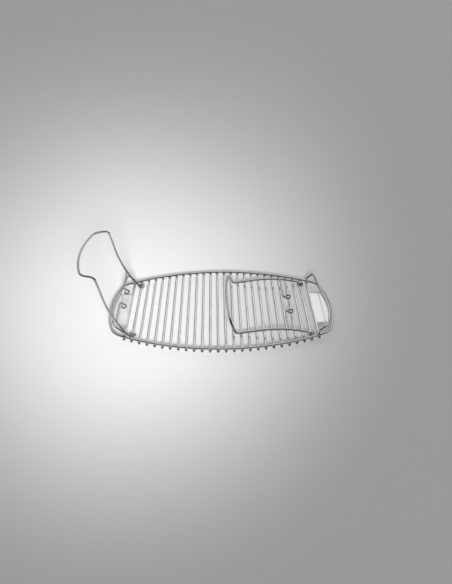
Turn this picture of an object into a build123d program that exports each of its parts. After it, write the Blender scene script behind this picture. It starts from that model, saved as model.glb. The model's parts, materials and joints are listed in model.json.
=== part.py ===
"""Grill basket: one oval grid of welded wire with two folding wire handles. Millimetres, +Z up.

The origin is the middle of the grid, on the plane that the basket stands on. The long way of the
oval is X, and the cross rods run along Y. The left handle stands up and the right one is folded.
"""

import math
import os

from build123d import *

# Wire sizes
rod_radius = 2.5
rim_radius = 2.25
handle_radius = 2.25
bow_radius = 2.0
arm_radius = 1.75
weld_bite = 0.5
# A square corner rounded by this share of its half side leaves a short straight between bends.
full_bend = 0.96

# Oval grid
rod_count = 26
rod_pitch = 15.0
rod_overhang = 3.0
rod_end_chamfer = 0.5
rim_half_length = 226.5
rim_half_width = 140.5
rim_side_radius = 450.0
rim_end_radius = 240.0
rim_corner_radius = 38.0

# Handles: measured from the hinge axis, s towards the middle of the grid and t upwards when folded
hinge_rod = 1
eye_clearance = 0.35
eye_turn_pitch = 4.9
eye_quarters = 4.6
eye_tail_share = 0.2
leg_spacing = 185.5
leg_bend_s = 57.5
leg_bend_t = 18.0
leg_bend_radius = 230.0
grip_line_s = 146.0
grip_line_t = 4.1
grip_bend_radius = 9.0
grip_angle = 67.0
grip_side_depth = 26.5
grip_side_spacing = 171.0
grip_side_radius = 21.0
grip_apex_depth = 51.5
grip_crown_radius = 255.0
raised_angle = 112.3

# Latch arms, in the same s and t
arm_s = 44.2
arm_t = 13.0
arm_root_inset = 1.2
arm_curl_y = 26.5
arm_bend_radius = 4.5
curl_centre_s = 33.0
curl_centre_t = 10.4
curl_radius = 4.3

# End bows and plates
bow_foot_y = 95.6
bow_elbow_y = 97.6
bow_elbow_rise = 12.6
bow_shoulder_x = 200.8
bow_shoulder_y = 97.0
bow_shoulder_rise = 24.6
bow_side_x = 214.0
bow_side_y = 54.0
bow_end_x = 223.0
bow_bend_radius = 4.5
bow_side_radius = 40.0
bow_end_radius = 200.0
plate_thickness = 1.2
plate_half_width = 53.0
plate_corner_radius = 6.0
plate_inner_inset = 1.1
plate_side_inset = 0.5
plate_end_inset = 3.0
plate_bite = 0.2
groove_x = 207.0
groove_radius = 0.8
groove_depth = 0.35
groove_overrun = 1.0

# Levels and places that follow from the sizes above
eye_radius = rod_radius + eye_clearance + handle_radius
rod_z = eye_radius + handle_radius
rim_z = rod_z + rod_radius + rim_radius - weld_bite
bow_z = rim_z
plate_top_z = bow_z - bow_radius + plate_bite
rod_half_span = rod_pitch * (rod_count - 1) / 2
hinge_x = rod_half_span - hinge_rod * rod_pitch
side_centre_y = rim_side_radius - rim_half_width
end_centre_x = rim_end_radius - rim_half_length


def along(angle):
    """Unit direction at an angle in degrees, as a pair."""
    return math.cos(math.radians(angle)), math.sin(math.radians(angle))


def finish_piece(part, name):
    """Labels one piece and writes its STEP file."""
    part.label = name
    export_step(part, f"parts/{name}.step")


def make_rim():
    """Closed oval ring: two long side arcs, two end arcs and four rounded corners."""
    with BuildSketch(Plane.XY.offset(rim_z)) as outline:
        with Locations((0, -side_centre_y)):
            Circle(rim_side_radius)
        with Locations((0, side_centre_y)):
            Circle(rim_side_radius, mode=Mode.INTERSECT)
        with Locations((-end_centre_x, 0)):
            Circle(rim_end_radius, mode=Mode.INTERSECT)
        with Locations((end_centre_x, 0)):
            Circle(rim_end_radius, mode=Mode.INTERSECT)
        fillet(outline.vertices(), rim_corner_radius)
    centre_line = outline.sketch.faces()[0].outer_wire()
    with BuildPart() as rim:
        with BuildSketch(Plane(origin=centre_line @ 0, z_dir=centre_line % 0)):
            Circle(rim_radius)
        sweep(path=centre_line)
    return rim.part


def make_cross_rod(x):
    """One straight rod under the rim, a little longer than the oval is wide there."""
    half_length = math.sqrt(rim_side_radius**2 - x**2) - side_centre_y + rod_overhang
    with BuildPart() as rod:
        with BuildSketch(Plane(origin=(x, 0, rod_z), z_dir=(0, 1, 0))):
            Circle(rod_radius)
        extrude(amount=half_length, both=True)
        chamfer(rod.edges().filter_by(GeomType.CIRCLE), rod_end_chamfer)
    return rod.part


def swept_wire(plane, points, radii, wire_radius):
    """A round wire of straight runs joined by tangent bends, through points of the given plane."""
    with BuildPart() as wire:
        with BuildLine(plane) as path:
            FilletPolyline(*points, radius=radii)
        centre_line = path.wires()[0]
        with BuildSketch(Plane(origin=centre_line @ 0, z_dir=centre_line % 0)):
            Circle(wire_radius)
        sweep(path=centre_line)
    return wire.part


def hinge_plane(end, angle):
    """Local frame of a handle: x is s and z is t, turned up by angle from folded."""
    c, s = along(angle)
    origin = (end * hinge_x, 0, rod_z)
    return Plane(origin=origin, x_dir=(-end * c, 0, s), z_dir=(end * s, 0, c))


def half_handle():
    """Points and bend radii of one half of a handle, from the tail of its eye to the grip's side."""
    leg_y = leg_spacing / 2
    quarter = eye_turn_pitch / 4
    slope = math.atan2(leg_bend_t, leg_bend_s) - math.asin(
        eye_radius / math.hypot(leg_bend_s, leg_bend_t)
    )
    first_corner_t = eye_radius * (1 / math.cos(slope) - math.tan(slope))
    # The tail of the eye is its inner end, and the turns step outwards to the leg.
    points = [
        (-eye_radius, leg_y - eye_quarters * quarter, -eye_tail_share * eye_radius),
        (-eye_radius, leg_y - 4 * quarter, eye_radius),
        (eye_radius, leg_y - 3 * quarter, eye_radius),
        (eye_radius, leg_y - 2 * quarter, -eye_radius),
        (-eye_radius, leg_y - quarter, -eye_radius),
        (-eye_radius, leg_y, first_corner_t),
        (leg_bend_s, leg_y, leg_bend_t),
        (grip_line_s, leg_y, grip_line_t),
    ]
    grip_s, grip_t = along(grip_angle)
    points.append(
        (
            grip_line_s + grip_side_depth * grip_s,
            grip_side_spacing / 2,
            grip_line_t + grip_side_depth * grip_t,
        )
    )
    eye_bend = full_bend * eye_radius
    radii = [eye_bend] * 5 + [leg_bend_radius, grip_bend_radius, grip_side_radius]
    return points, radii


def make_handle(end, angle):
    """One bent wire: eye, leg, grip, leg, eye."""
    points, radii = half_handle()
    grip_s, grip_t = along(grip_angle)
    apex = (
        grip_line_s + grip_apex_depth * grip_s,
        0,
        grip_line_t + grip_apex_depth * grip_t,
    )
    other_side = [(s, -y, t) for s, y, t in reversed(points)]
    return swept_wire(
        hinge_plane(end, angle),
        points + [apex] + other_side,
        radii + [grip_crown_radius] + radii[::-1],
        handle_radius,
    )


def make_latch_arm(end, angle, side):
    """A short wire from a leg towards the middle, its end curled round in the plane of travel."""
    leg_y = side * (leg_spacing / 2 - arm_root_inset)
    curl_y = side * arm_curl_y
    to_centre_s = curl_centre_s - arm_s
    to_centre_t = curl_centre_t - arm_t
    distance = math.hypot(to_centre_s, to_centre_t)
    heading = math.degrees(
        math.atan2(to_centre_t, to_centre_s) + math.asin(curl_radius / distance)
    )
    points = [(arm_s, leg_y, arm_t), (arm_s, curl_y, arm_t)]
    # The curl is a polygon round its centre, a quarter turn a corner, with each corner rounded.
    for quarter_turn in range(3):
        ahead = along(heading - 90 * quarter_turn)
        outward = along(heading - 90 * quarter_turn + 90)
        points.append(
            (
                curl_centre_s + curl_radius * (ahead[0] + outward[0]),
                curl_y,
                curl_centre_t + curl_radius * (ahead[1] + outward[1]),
            )
        )
    tip = along(heading - 180)
    points.append(
        (curl_centre_s + curl_radius * tip[0], curl_y, curl_centre_t + curl_radius * tip[1])
    )
    radii = [arm_bend_radius] + [full_bend * curl_radius] * 3
    return swept_wire(hinge_plane(end, angle), points, radii, arm_radius)


def make_end_bow(end):
    """Bent wire that rises from the last rod to a shoulder at each corner and rounds the end."""
    half = [
        (end * rod_half_span, bow_foot_y, rod_z + rod_radius - weld_bite),
        (end * rod_half_span, bow_elbow_y, rod_z + bow_elbow_rise),
        (end * bow_shoulder_x, bow_shoulder_y, rod_z + bow_shoulder_rise),
        (end * bow_side_x, bow_side_y, bow_z),
    ]
    middle = (end * bow_end_x, 0, bow_z)
    other_half = [(x, -y, z) for x, y, z in reversed(half)]
    radii = [bow_bend_radius, bow_bend_radius, bow_side_radius]
    return swept_wire(
        Plane.XY,
        half + [middle] + other_half,
        radii + [bow_end_radius] + radii[::-1],
        bow_radius,
    )


def make_end_plate(end):
    """Flat sheet between the last rod and the bow, with one shallow pressed line along it."""
    inner_x = end * (rod_half_span + plate_inner_inset)
    side_x = end * (bow_side_x - plate_side_inset)
    end_x = end * (bow_end_x - plate_end_inset)
    with BuildPart() as plate:
        with BuildSketch(Plane.XY.offset(plate_top_z)) as outline:
            with BuildLine():
                Polyline(
                    (side_x, plate_half_width),
                    (inner_x, plate_half_width),
                    (inner_x, -plate_half_width),
                    (side_x, -plate_half_width),
                )
                ThreePointArc((side_x, -plate_half_width), (end_x, 0), (side_x, plate_half_width))
            make_face()
            outer_corners = outline.vertices().sort_by(Axis.X, reverse=end < 0)[-2:]
            fillet(outer_corners, plate_corner_radius)
        extrude(amount=-plate_thickness)
        groove_z = plate_top_z + groove_radius - groove_depth
        with Locations((end * groove_x, 0, groove_z)):
            Cylinder(
                groove_radius,
                2 * (plate_half_width + groove_overrun),
                rotation=(90, 0, 0),
                mode=Mode.SUBTRACT,
            )
    return plate.part


os.makedirs("parts", exist_ok=True)

finish_piece(make_rim(), "outer_rim")
for number in range(rod_count):
    finish_piece(make_cross_rod(number * rod_pitch - rod_half_span), f"cross_rod_{number + 1:02d}")
for end_name, end, angle in (("left", -1, raised_angle), ("right", 1, 0.0)):
    finish_piece(make_end_bow(end), f"end_bow_{end_name}")
    finish_piece(make_end_plate(end), f"end_plate_{end_name}")
    finish_piece(make_handle(end, angle), f"handle_{end_name}")
    for side_name, side in (("front", end), ("back", -end)):
        # The two handles are one part turned round, so their local sides swap over at the right.
        finish_piece(make_latch_arm(end, angle, side), f"latch_arm_{end_name}_{side_name}")
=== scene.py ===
"""Looks for the oval wire grill basket: steel finishes, weld metal, floor, studio light and camera.

Everything is in metres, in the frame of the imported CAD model. The basket's shape is the CAD's own;
this script adds the metal's surface and the small beads of weld metal at its joints.
"""

import json
import math

import bmesh
import bpy
from mathutils import Matrix, Vector, noise


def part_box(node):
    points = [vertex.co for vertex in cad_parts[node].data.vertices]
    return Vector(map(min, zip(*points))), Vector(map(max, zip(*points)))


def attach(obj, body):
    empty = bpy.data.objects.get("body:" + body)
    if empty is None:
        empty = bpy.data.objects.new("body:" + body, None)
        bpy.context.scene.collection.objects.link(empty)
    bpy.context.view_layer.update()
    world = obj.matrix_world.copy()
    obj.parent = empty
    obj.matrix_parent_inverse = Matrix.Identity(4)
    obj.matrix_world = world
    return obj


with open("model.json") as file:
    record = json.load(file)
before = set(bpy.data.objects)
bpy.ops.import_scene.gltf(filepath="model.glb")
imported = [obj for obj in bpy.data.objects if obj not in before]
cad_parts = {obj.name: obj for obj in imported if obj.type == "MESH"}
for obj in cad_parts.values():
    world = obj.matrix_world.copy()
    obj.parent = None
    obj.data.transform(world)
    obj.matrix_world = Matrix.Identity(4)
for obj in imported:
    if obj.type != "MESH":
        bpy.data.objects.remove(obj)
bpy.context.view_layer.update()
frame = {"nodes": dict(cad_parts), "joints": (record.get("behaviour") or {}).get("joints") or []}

MM = 0.001

# The rods by number, the sides and ends in the names of nodes, and each moving body's joint
RODS = sorted(name for name in frame["nodes"] if name.startswith("cross_rod_"))
SIDES = {"front": -1, "back": 1}
ENDS = ("left", "right")
JOINT_OF = {joint["child"]: joint for joint in frame["joints"]}


def points_of(node):
    """The node's vertices at rest."""
    return [vertex.co.copy() for vertex in frame["nodes"][node].data.vertices]


def middle(low, high):
    return (low + high) / 2


# Places and sizes of the wires, as the frame has them
rim_low, rim_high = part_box("outer_rim")
rod_low, rod_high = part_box(RODS[0])
rim_wire_radius = (rim_high.z - rim_low.z) / 2
rod_radius = (rod_high.z - rod_low.z) / 2
rim_z = middle(rim_low.z, rim_high.z)
rod_z = middle(rod_low.z, rod_high.z)
rod_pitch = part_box(RODS[1])[0].x - rod_low.x
rim_points = points_of("outer_rim")


def rod_x(node):
    low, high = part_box(node)
    return middle(low.x, high.x)


def rim_y(x):
    """Where the rim's centre line crosses a rod at x, on the +Y side."""
    near = [p.y for p in rim_points if p.y > 0 and abs(p.x - x) < rod_pitch / 2]
    return middle(min(near), max(near))


# The rim's long sides are arcs: their radius and centre from the rim at the middle and further out
rim_half_width = rim_high.y - rim_wire_radius
far_x = rod_x(RODS[4])
far_drop = rim_half_width - rim_y(far_x)
side_radius = (far_x**2 + far_drop**2) / (2 * far_drop)
side_centre = side_radius - rim_half_width
rod_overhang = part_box(RODS[12])[1].y - rim_y(rod_x(RODS[12]))


# ---------------------------------------------------------------- materials


class Nodes:
    """A small helper that adds shader nodes to one material and links them."""

    def __init__(self, name):
        self.material = bpy.data.materials.new(name)
        self.material.use_nodes = True
        self.tree = self.material.node_tree
        self.tree.nodes.clear()
        self.shader = self.add("ShaderNodeBsdfPrincipled")
        output = self.add("ShaderNodeOutputMaterial")
        self.link(self.shader.outputs["BSDF"], output.inputs["Surface"])
        self.place = self.add("ShaderNodeTexCoord").outputs["Object"]

    def add(self, kind, **settings):
        node = self.tree.nodes.new(kind)
        for key, value in settings.items():
            setattr(node, key, value)
        return node

    def link(self, source, target):
        self.tree.links.new(source, target)

    def put(self, socket, value):
        """Gives an input a value, or a link where the value is another node's output."""
        if isinstance(value, bpy.types.NodeSocket):
            self.link(value, socket)
        else:
            socket.default_value = value

    def maths(self, operation, *values):
        node = self.add("ShaderNodeMath", operation=operation)
        for socket, value in zip(node.inputs, values):
            self.put(socket, value)
        return node.outputs[0]

    def ramp(self, value, low, high, to_low=0.0, to_high=1.0):
        """Smooth step of a value from low..high to to_low..to_high."""
        node = self.add("ShaderNodeMapRange", interpolation_type="SMOOTHSTEP", clamp=True)
        for socket, item in zip(node.inputs, (value, low, high, to_low, to_high)):
            self.put(socket, item)
        return node.outputs[0]

    def mix(self, share, a, b):
        node = self.add("ShaderNodeMix", data_type="FLOAT")
        self.put(node.inputs[0], share)
        self.put(node.inputs[2], a)
        self.put(node.inputs[3], b)
        return node.outputs[0]

    def noise(self, size, origin=(0, 0, 0), turn=0.0, detail=3.0, rough=0.55):
        """Noise whose features have the given size in metres along X, Y and Z, turned about Y."""
        mapping = self.add("ShaderNodeMapping", vector_type="TEXTURE")
        self.link(self.place, mapping.inputs["Vector"])
        mapping.inputs["Location"].default_value = origin
        mapping.inputs["Rotation"].default_value = (0, turn, 0)
        mapping.inputs["Scale"].default_value = size
        texture = self.add("ShaderNodeTexNoise")
        self.link(mapping.outputs[0], texture.inputs["Vector"])
        texture.inputs["Scale"].default_value = 1.0
        texture.inputs["Detail"].default_value = detail
        texture.inputs["Roughness"].default_value = rough
        return texture.outputs["Fac"]

    def axes(self):
        node = self.add("ShaderNodeSeparateXYZ")
        self.link(self.place, node.inputs[0])
        return node.outputs

    def grey(self, value):
        node = self.add("ShaderNodeCombineColor")
        for socket in node.inputs:
            self.put(socket, value)
        return node.outputs[0]

    def bump(self, height, distance, strength, under=None):
        node = self.add("ShaderNodeBump")
        node.inputs["Strength"].default_value = strength
        node.inputs["Distance"].default_value = distance
        self.link(height, node.inputs["Height"])
        if under is not None:
            self.link(under, node.inputs["Normal"])
        return node.outputs[0]


# Most values of a noise lie in this span.
NOISE_SPAN = (0.3, 0.7)

# Steel wire: the sizes of its marks, and how they change its shade and roughness. A span is the
# part of a noise's values that the change runs over. A relief is a depth and a strength.
DRAW_LENGTH = 60 * MM
DRAW_WIDTH = 0.45 * MM
DRAW_RELIEF = (0.02 * MM, 0.5)
MOTTLE = (14 * MM,) * 3
PITS = (0.8 * MM,) * 3
PIT_RELIEF = (0.01 * MM, 0.35)
MOTTLE_SHADE = (0.93, 1.04)
MOTTLE_ROUGHNESS = (0.0, 0.08)
MOTTLE_ROUGHNESS_SPAN = (0.35, 0.7)
LINE_SHADE = (0.9, 1.0)
LINE_SHADE_SPAN = (0.3, 0.6)
LINE_ROUGHNESS = (0.2, 0.1)
MARK_AND_SHADE_TONE = 0.3
STAIN_ROUGHNESS = 0.22
ROD_TONE = 0.82
RIM_TONE = 0.66
RIM_END_REACH = (30 * MM, 8 * MM)
BOW_TONE = 0.68
HANDLE_TONE = 0.6
GRIP_SHARES = (0.92, 0.98)
LATCH_TONE = 0.58

# Marks on the wire: painted light in a handle's eyes, and darkening by weld tint, cropped rod ends
# and the rim's underside, partly painted shade
EYE_LIGHT_FULL = 7.5 * MM
EYE_LIGHT_END = 14 * MM
EYE_LIGHT_GAIN = 1.35
HEAT_AND_SHADE_FULL = 1.5 * MM
HEAT_AND_SHADE_END = 8 * MM
HEAT_AND_SHADE_SHARE = 0.35
END_FACE = (0.4 * MM, 0.1 * MM)
RIM_MARK_FULL = 1.2 * MM
RIM_MARK_END = 4.5 * MM
RIM_MARK_SHARE = 0.5
PAST_LAST_ROD = (3 * MM, 6 * MM)

# Weld metal
SCALE_MARKS = (1.4 * MM,) * 3
WELD_RIPPLES = (0.5 * MM,) * 3
WELD_RELIEF = (0.12 * MM, 0.7)
WELD_SHADE = (0.2, 0.46)
WELD_ROUGHNESS = (0.62, 0.34)
WELD_ROUGHNESS_SPAN = (0.3, 0.75)

# Plate sheet
GRAIN = (0.35 * MM, 45 * MM, 0.35 * MM)
SCRATCHES = (0.9 * MM, 120 * MM, 5 * MM)
SCRATCH_ORIGIN = (3 * MM, 0, 0)
SCRATCH_SPAN = (0.62, 0.7)
SCRATCH_DEPTH_SHARE = 0.5
SCRATCH_ROUGHNESS = 0.1
PLATE_MOTTLE = (22 * MM,) * 3
PLATE_MOTTLE_SHADE = (0.95, 1.0)
GRAIN_SHADE = (0.86, 0.99)
GRAIN_ROUGHNESS = (0.48, 0.36)
GRAIN_RELIEF = (0.03 * MM, 0.6)
GROOVE_REACH = (0.4 * MM, 1.3 * MM)
GROOVE_SHADE_SHARE = 0.35
PLATE_METALLIC = 0.85
DIP_DEPTHS = (0.05 * MM, 0.6 * MM)


def drawn_lines(nodes, lengthwise, turn, origin):
    """Fine die lines of drawn wire: long along the wire, narrow across it."""
    size = [DRAW_WIDTH] * 3
    size["XY".index(lengthwise)] = DRAW_LENGTH
    return nodes.noise(size, origin=origin, turn=turn, detail=4.0)


def steel_wire(
    name, tone, lengthwise, turn=0.0, origin=(0, 0, 0), crosswise_from=None, marks_and_shade=None, eye_light_hinge=None
):
    """Bright drawn wire.

    Its die lines run along the axis lengthwise, turned about Y. crosswise_from is a centre and two
    distances from it, between which the lines change over to run along Y. A function of marks may
    darken it, partly as painted shade; around a hinge, its eyes are lightened as painted light.
    """
    nodes = Nodes(name)
    lines = drawn_lines(nodes, lengthwise, turn, origin)
    if crosswise_from is not None:
        centre, start, finish = crosswise_from
        away = nodes.add("ShaderNodeVectorMath", operation="DISTANCE")
        nodes.link(nodes.place, away.inputs[0])
        away.inputs[1].default_value = centre
        past = nodes.ramp(away.outputs["Value"], start, finish)
        lines = nodes.mix(past, lines, drawn_lines(nodes, "Y", 0.0, origin))
    mottle = nodes.noise(MOTTLE, detail=5.0, rough=0.6)
    pits = nodes.noise(PITS, detail=2.0)
    low_shade, high_shade = MOTTLE_SHADE
    shade = nodes.ramp(mottle, *NOISE_SPAN, low_shade * tone, high_shade * tone)
    shade = nodes.maths("MULTIPLY", shade, nodes.ramp(lines, *LINE_SHADE_SPAN, *LINE_SHADE))
    line_roughness = nodes.ramp(lines, *NOISE_SPAN, *LINE_ROUGHNESS)
    mottle_roughness = nodes.ramp(mottle, *MOTTLE_ROUGHNESS_SPAN, *MOTTLE_ROUGHNESS)
    roughness = nodes.maths("ADD", line_roughness, mottle_roughness)
    # Painted light: the colour is lightened around the hinge, lifting the shade in the eyes.
    if eye_light_hinge is not None:
        shade = nodes.maths("MULTIPLY", shade, eye_painted_light(nodes, eye_light_hinge))
    # The marks darken the colour: weld tint and dull cut ends, and painted shade beside and under
    # the rim.
    if marks_and_shade is not None:
        mark = marks_and_shade(nodes)
        shade = nodes.maths("MULTIPLY", shade, nodes.mix(mark, 1.0, MARK_AND_SHADE_TONE))
        roughness = nodes.maths("ADD", roughness, nodes.maths("MULTIPLY", mark, STAIN_ROUGHNESS))
    nodes.link(nodes.grey(shade), nodes.shader.inputs["Base Color"])
    nodes.link(roughness, nodes.shader.inputs["Roughness"])
    nodes.shader.inputs["Metallic"].default_value = 1.0
    fine = nodes.bump(pits, *PIT_RELIEF)
    nodes.link(nodes.bump(lines, *DRAW_RELIEF, under=fine), nodes.shader.inputs["Normal"])
    return nodes.material


def eye_painted_light(nodes, hinge):
    """Painted light: a gain in brightness around the hinge, lifting the shade in a handle's eyes."""
    x, _, z = nodes.axes()
    across = nodes.maths("POWER", nodes.maths("SUBTRACT", x, hinge.x), 2.0)
    up = nodes.maths("POWER", nodes.maths("SUBTRACT", z, hinge.z), 2.0)
    away = nodes.maths("SQRT", nodes.maths("ADD", across, up))
    return nodes.ramp(away, EYE_LIGHT_FULL, EYE_LIGHT_END, EYE_LIGHT_GAIN, 1.0)


def rod_marks_and_shade(nodes):
    """Dark marks on a rod: weld tint beside the rim and dull cropped end faces, both partly painted
    shade.
    """
    x, y, _ = nodes.axes()
    square = nodes.maths("SUBTRACT", side_radius**2, nodes.maths("POWER", x, 2.0))
    across = nodes.maths("SQRT", square)
    rim_at = nodes.maths("SUBTRACT", across, side_centre)
    to_rim = nodes.maths("SUBTRACT", nodes.maths("ABSOLUTE", y), rim_at)
    # Painted shade as well as weld tint: the rod is darkened beside the rim that shades it.
    heat_and_shade = nodes.ramp(nodes.maths("ABSOLUTE", to_rim), HEAT_AND_SHADE_FULL, HEAT_AND_SHADE_END, HEAT_AND_SHADE_SHARE, 0.0)
    # Dull cut end faces, darkened also as painted shade in place of their reflection of the floor.
    end_face = nodes.ramp(to_rim, rod_overhang - END_FACE[0], rod_overhang - END_FACE[1])
    return nodes.maths("MAXIMUM", heat_and_shade, end_face)


def rim_dullness_and_shade(nodes):
    """Painted shade on the rim's underside where each rod is welded to it; the same mask makes the
    weld duller.
    """
    x, _, z = nodes.axes()
    first_x = rod_x(RODS[0])
    from_rod = nodes.maths("PINGPONG", nodes.maths("SUBTRACT", x, first_x), rod_pitch / 2)
    near = nodes.ramp(from_rod, RIM_MARK_FULL, RIM_MARK_END, 1.0, 0.0)
    start, finish = (past - first_x for past in PAST_LAST_ROD)
    on_side = nodes.ramp(nodes.maths("ABSOLUTE", x), start, finish, 1.0, 0.0)
    # Only the underside is darkened: painted shade where the rim sits on the rod.
    underneath = nodes.ramp(z, rim_z - rim_wire_radius, rim_z, RIM_MARK_SHARE, 0.0)
    return nodes.maths("MULTIPLY", near, nodes.maths("MULTIPLY", on_side, underneath))


def weld_metal():
    """Dull, slightly scaled weld metal, rippled and pitted."""
    nodes = Nodes("weld_metal")
    scale_marks = nodes.noise(SCALE_MARKS, detail=6.0, rough=0.65)
    ripples = nodes.noise(WELD_RIPPLES, detail=3.0)
    shade = nodes.ramp(scale_marks, *NOISE_SPAN, *WELD_SHADE)
    nodes.link(nodes.grey(shade), nodes.shader.inputs["Base Color"])
    roughness = nodes.ramp(scale_marks, *WELD_ROUGHNESS_SPAN, *WELD_ROUGHNESS)
    nodes.link(roughness, nodes.shader.inputs["Roughness"])
    nodes.shader.inputs["Metallic"].default_value = 1.0
    nodes.link(nodes.bump(ripples, *WELD_RELIEF), nodes.shader.inputs["Normal"])
    return nodes.material


def plate_sheet(groove_x):
    """Brushed sheet: grain along Y, a few longer scratches, and painted shade along the pressed
    line.
    """
    nodes = Nodes("plate_sheet")
    grain = nodes.noise(GRAIN, detail=5.0, rough=0.6)
    scratches = nodes.noise(SCRATCHES, origin=SCRATCH_ORIGIN, detail=2.0, rough=0.4)
    mottle = nodes.noise(PLATE_MOTTLE, detail=4.0)
    x, _, _ = nodes.axes()
    from_groove = nodes.maths("SUBTRACT", nodes.maths("ABSOLUTE", x), groove_x)
    # Painted shade: the colour is darkened along the pressed line's dip.
    groove_shade = nodes.ramp(nodes.maths("ABSOLUTE", from_groove), *GROOVE_REACH, GROOVE_SHADE_SHARE, 0.0)
    grain_shade = nodes.ramp(grain, *NOISE_SPAN, *GRAIN_SHADE)
    mottle_shade = nodes.ramp(mottle, *NOISE_SPAN, *PLATE_MOTTLE_SHADE)
    shade = nodes.maths("MULTIPLY", grain_shade, mottle_shade)
    shade = nodes.maths("MULTIPLY", shade, nodes.maths("SUBTRACT", 1.0, groove_shade))
    deep = nodes.ramp(scratches, *SCRATCH_SPAN)
    grain_roughness = nodes.ramp(grain, *NOISE_SPAN, *GRAIN_ROUGHNESS)
    deep_roughness = nodes.maths("MULTIPLY", deep, SCRATCH_ROUGHNESS)
    roughness = nodes.maths("ADD", grain_roughness, deep_roughness)
    nodes.link(nodes.grey(shade), nodes.shader.inputs["Base Color"])
    nodes.link(roughness, nodes.shader.inputs["Roughness"])
    nodes.shader.inputs["Metallic"].default_value = PLATE_METALLIC
    height = nodes.maths("SUBTRACT", grain, nodes.maths("MULTIPLY", deep, SCRATCH_DEPTH_SHARE))
    nodes.link(nodes.bump(height, *GRAIN_RELIEF), nodes.shader.inputs["Normal"])
    return nodes.material


def leg_turn(body, node):
    """Angle about Y that turns X onto the run of a handle's legs, from its hinge to its grip."""
    hinge = Vector(JOINT_OF[body]["pos_m"])
    reach = max(points_of(node), key=lambda p: (Vector((p.x, 0, p.z)) - hinge).length)
    return math.atan2(-(reach.z - hinge.z), reach.x - hinge.x)


def groove_place(node):
    """How far out the plate's pressed line lies: the middle of the dip in its top face."""
    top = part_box(node)[1].z
    dip = [abs(p.x) for p in points_of(node) if DIP_DEPTHS[0] < top - p.z < DIP_DEPTHS[1]]
    return middle(min(dip), max(dip))


def paint(node, material):
    for slot in frame["nodes"][node].material_slots:
        slot.material = material


def paint_wires():
    """Every CAD node takes the steel of its material slot."""
    rod_steel = steel_wire("rod_steel", ROD_TONE, "Y", marks_and_shade=rod_marks_and_shade)
    for node in RODS:
        paint(node, rod_steel)
    start, finish = (rim_high.x - reach for reach in RIM_END_REACH)
    rim_ends = ((0, 0, rim_z), start, finish)
    rim_steel = steel_wire("rim_steel", RIM_TONE, "X", crosswise_from=rim_ends, marks_and_shade=rim_dullness_and_shade)
    paint("outer_rim", rim_steel)
    bow_steel = steel_wire("bow_steel", BOW_TONE, "Y")
    for end in ENDS:
        paint(f"end_bow_{end}", bow_steel)
        body, handle = f"{end}_handle", f"handle_{end}"
        hinge = Vector(JOINT_OF[body]["pos_m"])
        reach = max((p - hinge).length for p in points_of(handle))
        start, finish = (share * reach for share in GRIP_SHARES)
        handle_steel = steel_wire(
            f"{handle}_steel",
            HANDLE_TONE,
            "X",
            turn=leg_turn(body, handle),
            origin=hinge,
            crosswise_from=(hinge, start, finish),
            eye_light_hinge=hinge,
        )
        paint(handle, handle_steel)
        arm_steel = steel_wire(f"latch_{end}_steel", LATCH_TONE, "Y")
        for side in SIDES:
            paint(f"latch_arm_{end}_{side}", arm_steel)
    sheet = plate_sheet(groove_place("end_plate_right"))
    for end in ENDS:
        paint(f"end_plate_{end}", sheet)


# ---------------------------------------------------------------- weld metal

# Beads of weld metal: their half sizes, and how their surface swells
BEAD_SWELL = 0.18
SWELL_FINENESS = 900
SWELL_SPREAD = 300
RIM_BEAD = (2.9 * MM, 2.7 * MM, 1.0 * MM)
RIM_BEAD_SINK = 0.4 * MM
FOOT_BEAD = (2.8 * MM, 2.8 * MM, 1.1 * MM)
FOOT_SIDE_BEAD = (1.5 * MM, 1.3 * MM, 1.9 * MM)
ROOT_BEAD = (2.3 * MM, 1.1 * MM, 2.3 * MM)
ROOT_INSET = 1.3 * MM

# A vertex this close to the end of a wire belongs to its end face.
END_SLACK = 0.1 * MM


def add_bead(mesh, centre, half_sizes):
    """One lumpy bead: a squashed ball whose surface swells and dips a little."""
    placed = Matrix.Translation(centre) @ Matrix.Diagonal((*half_sizes, 1))
    ball = bmesh.ops.create_icosphere(mesh, subdivisions=3, radius=1.0, matrix=placed)
    for vertex in ball["verts"]:
        out = vertex.co - centre
        swell = noise.noise(out * SWELL_FINENESS + centre * SWELL_SPREAD)
        vertex.co = centre + out * (1 + BEAD_SWELL * swell)


def bead_piece(name, body, beads, material):
    """One piece of weld metal made of several beads."""
    mesh = bmesh.new()
    for bead in beads:
        add_bead(mesh, *bead)
    data = bpy.data.meshes.new(name)
    mesh.to_mesh(data)
    mesh.free()
    data.materials.append(material)
    data.shade_smooth()
    piece = bpy.data.objects.new(name, data)
    bpy.context.scene.collection.objects.link(piece)
    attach(piece, body)


def add_rim_welds(material):
    """Squeezed-out metal in the corner between each rod and the rim."""
    contact_z = rod_z + rod_radius - RIM_BEAD_SINK
    for side, sign in SIDES.items():
        beads = []
        for node in RODS:
            x = rod_x(node)
            beads.append((Vector((x, sign * rim_y(x), contact_z)), RIM_BEAD))
        bead_piece(f"rim_welds_{side}", "grid", beads, material)


def add_bow_welds(material):
    """Metal at the feet of the end bows: on top of the rod, and between the foot and the rim."""
    beads = []
    for end in ENDS:
        points = points_of(f"end_bow_{end}")
        low_z = min(p.z for p in points)
        for sign in SIDES.values():
            foot = [p for p in points if p.z < low_z + END_SLACK and p.y * sign > 0]
            centre = sum(foot, Vector()) / len(foot)
            beads.append((Vector((centre.x, centre.y, rod_z + rod_radius)), FOOT_BEAD))
            gap_y = middle(centre.y, sign * rim_y(centre.x))
            beads.append((Vector((centre.x, gap_y, rim_z)), FOOT_SIDE_BEAD))
    bead_piece("bow_foot_welds", "grid", beads, material)


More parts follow.
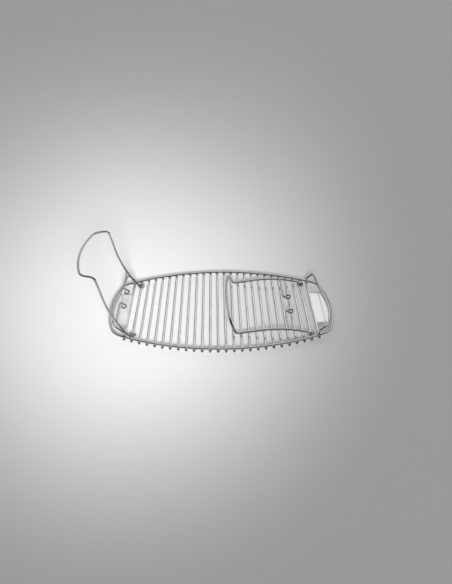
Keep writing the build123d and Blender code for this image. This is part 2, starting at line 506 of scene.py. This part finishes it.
def add_latch_welds(material):
    """A collar of metal where each latch arm meets its handle leg."""
    for end in ENDS:
        beads = []
        for side in SIDES:
            points = points_of(f"latch_arm_{end}_{side}")
            reach = max(abs(p.y) for p in points)
            root = [p for p in points if abs(p.y) > reach - END_SLACK]
            centre = sum(root, Vector()) / len(root)
            inward = Vector((0, -math.copysign(ROOT_INSET, centre.y), 0))
            beads.append((centre + inward, ROOT_BEAD))
        bead_piece(f"latch_welds_{end}", f"{end}_handle", beads, material)


weld = weld_metal()
paint_wires()
add_rim_welds(weld)
add_bow_welds(weld)
add_latch_welds(weld)


# ---------------------------------------------------------------- studio

FLOOR_SIZE = 60
FLOOR_CLOUD = (0.4,) * 3
FLOOR_GRIT = (2 * MM,) * 3
FLOOR_RELIEF = (0.02 * MM, 0.2)
FLOOR_SHADE = (0.398, 0.405)
FLOOR_ROUGHNESS = 0.75
FLOOR_SPECULAR = 0.2
FLOOR_GLOW = 0.157

# A pool of light on the floor at the left, and an even light from above
POOL_PLACE = (-0.012, -1.282, 0.694)
POOL_TARGET = (-0.262, 0.64, 0)
POOL_SIZE = (0.385, 0.3)
POOL_POWER = 5.8
POOL_SPREAD = 40.1
OVERHEAD_PLACE = (0.1, 0.2, 3.0)
OVERHEAD_TARGET = (0.1, 0.2, 0)
OVERHEAD_SIZE = (3.0, 3.0)
OVERHEAD_POWER = 4.4
OVERHEAD_SPREAD = 180.0

# The surroundings' brightness by the cosine of the angle from the middle of the bright patch
PATCH_DIRECTION = (0.15, 0.6, 0.79)
SURROUNDINGS = ((0.0, 0.06), (0.65, 0.08), (0.88, 0.95))

CAMERA_ELEVATION = 32.42
CAMERA_TURN = 1.08
CAMERA_DISTANCE = 1.339
CAMERA_AIM = Vector((0.0108, 0.0643, rod_z))
LENS = 38.5
SENSOR_WIDTH = 36.0


def add_floor():
    """A plain pale floor with hardly any texture of its own, which glows faintly: painted light that
    weakens the shadows on it.
    """
    nodes = Nodes("pale_floor")
    cloud = nodes.noise(FLOOR_CLOUD, detail=3.0)
    grit = nodes.noise(FLOOR_GRIT, detail=2.0)
    shade = nodes.ramp(cloud, *NOISE_SPAN, *FLOOR_SHADE)
    nodes.link(nodes.grey(shade), nodes.shader.inputs["Base Color"])
    nodes.shader.inputs["Roughness"].default_value = FLOOR_ROUGHNESS
    nodes.shader.inputs["Specular IOR Level"].default_value = FLOOR_SPECULAR
    # Painted light: the floor glows, though it is no lamp, to weaken the shadows on it.
    nodes.shader.inputs["Emission Color"].default_value = (1, 1, 1, 1)
    nodes.shader.inputs["Emission Strength"].default_value = FLOOR_GLOW
    nodes.link(nodes.bump(grit, *FLOOR_RELIEF), nodes.shader.inputs["Normal"])
    bpy.ops.mesh.primitive_plane_add(size=FLOOR_SIZE, location=(0, 0, 0))
    floor = bpy.context.object
    floor.name = "studio_floor"
    floor.data.materials.append(nodes.material)


def add_softbox(name, place, target, size, power, spread):
    """A soft oval light aimed at a point, with its beam spread in degrees.

    It isn't seen in reflections: what the steel mirrors is the surroundings and the floor.
    """
    data = bpy.data.lights.new(name, "AREA")
    data.shape = "ELLIPSE"
    data.size, data.size_y = size
    data.energy = power
    data.spread = math.radians(spread)
    light = bpy.data.objects.new(name, data)
    bpy.context.scene.collection.objects.link(light)
    light.location = place
    light.rotation_mode = "QUATERNION"
    light.rotation_quaternion = (Vector(target) - Vector(place)).to_track_quat("-Z", "Y")
    light.visible_camera = False
    light.visible_glossy = False


def add_world():
    """Studio surroundings: a dim room with a broad bright patch high up behind the object."""
    world = bpy.data.worlds.new("studio")
    bpy.context.scene.world = world
    world.use_nodes = True
    tree = world.node_tree
    background = tree.nodes["Background"]
    direction = tree.nodes.new("ShaderNodeTexCoord").outputs["Generated"]
    towards = tree.nodes.new("ShaderNodeVectorMath")
    towards.operation = "DOT_PRODUCT"
    tree.links.new(direction, towards.inputs[0])
    towards.inputs[1].default_value = Vector(PATCH_DIRECTION).normalized()
    ramp = tree.nodes.new("ShaderNodeValToRGB")
    tree.links.new(towards.outputs["Value"], ramp.inputs[0])
    stops = ramp.color_ramp.elements
    for number, (position, level) in enumerate(SURROUNDINGS):
        # A new ramp already has two stops.
        stop = stops[number] if number < 2 else stops.new(position)
        stop.position = position
        stop.color = (level, level, level, 1)
    tree.links.new(ramp.outputs[0], background.inputs["Color"])
    background.inputs["Strength"].default_value = 1.0


def add_camera():
    data = bpy.data.cameras.new("camera")
    data.sensor_width = SENSOR_WIDTH
    data.sensor_fit = "AUTO"
    data.lens = LENS
    data.clip_start = 0.05
    data.clip_end = 100.0
    camera = bpy.data.objects.new("camera", data)
    bpy.context.scene.collection.objects.link(camera)
    turn, rise = math.radians(CAMERA_TURN), math.radians(CAMERA_ELEVATION)
    level = math.cos(rise)
    back = Vector((-math.sin(turn) * level, -math.cos(turn) * level, math.sin(rise)))
    camera.location = CAMERA_AIM + back * CAMERA_DISTANCE
    camera.rotation_mode = "QUATERNION"
    camera.rotation_quaternion = (-back).to_track_quat("-Z", "Y")
    bpy.context.scene.camera = camera


def set_tone():
    view = bpy.context.scene.view_settings
    view.view_transform = "Standard"
    view.look = "None"
    view.exposure = 0.0
    view.gamma = 1.0


add_floor()
add_world()
add_softbox("pool", POOL_PLACE, POOL_TARGET, POOL_SIZE, POOL_POWER, POOL_SPREAD)
add_softbox(
    "overhead", OVERHEAD_PLACE, OVERHEAD_TARGET, OVERHEAD_SIZE, OVERHEAD_POWER, OVERHEAD_SPREAD
)
add_camera()
set_tone()
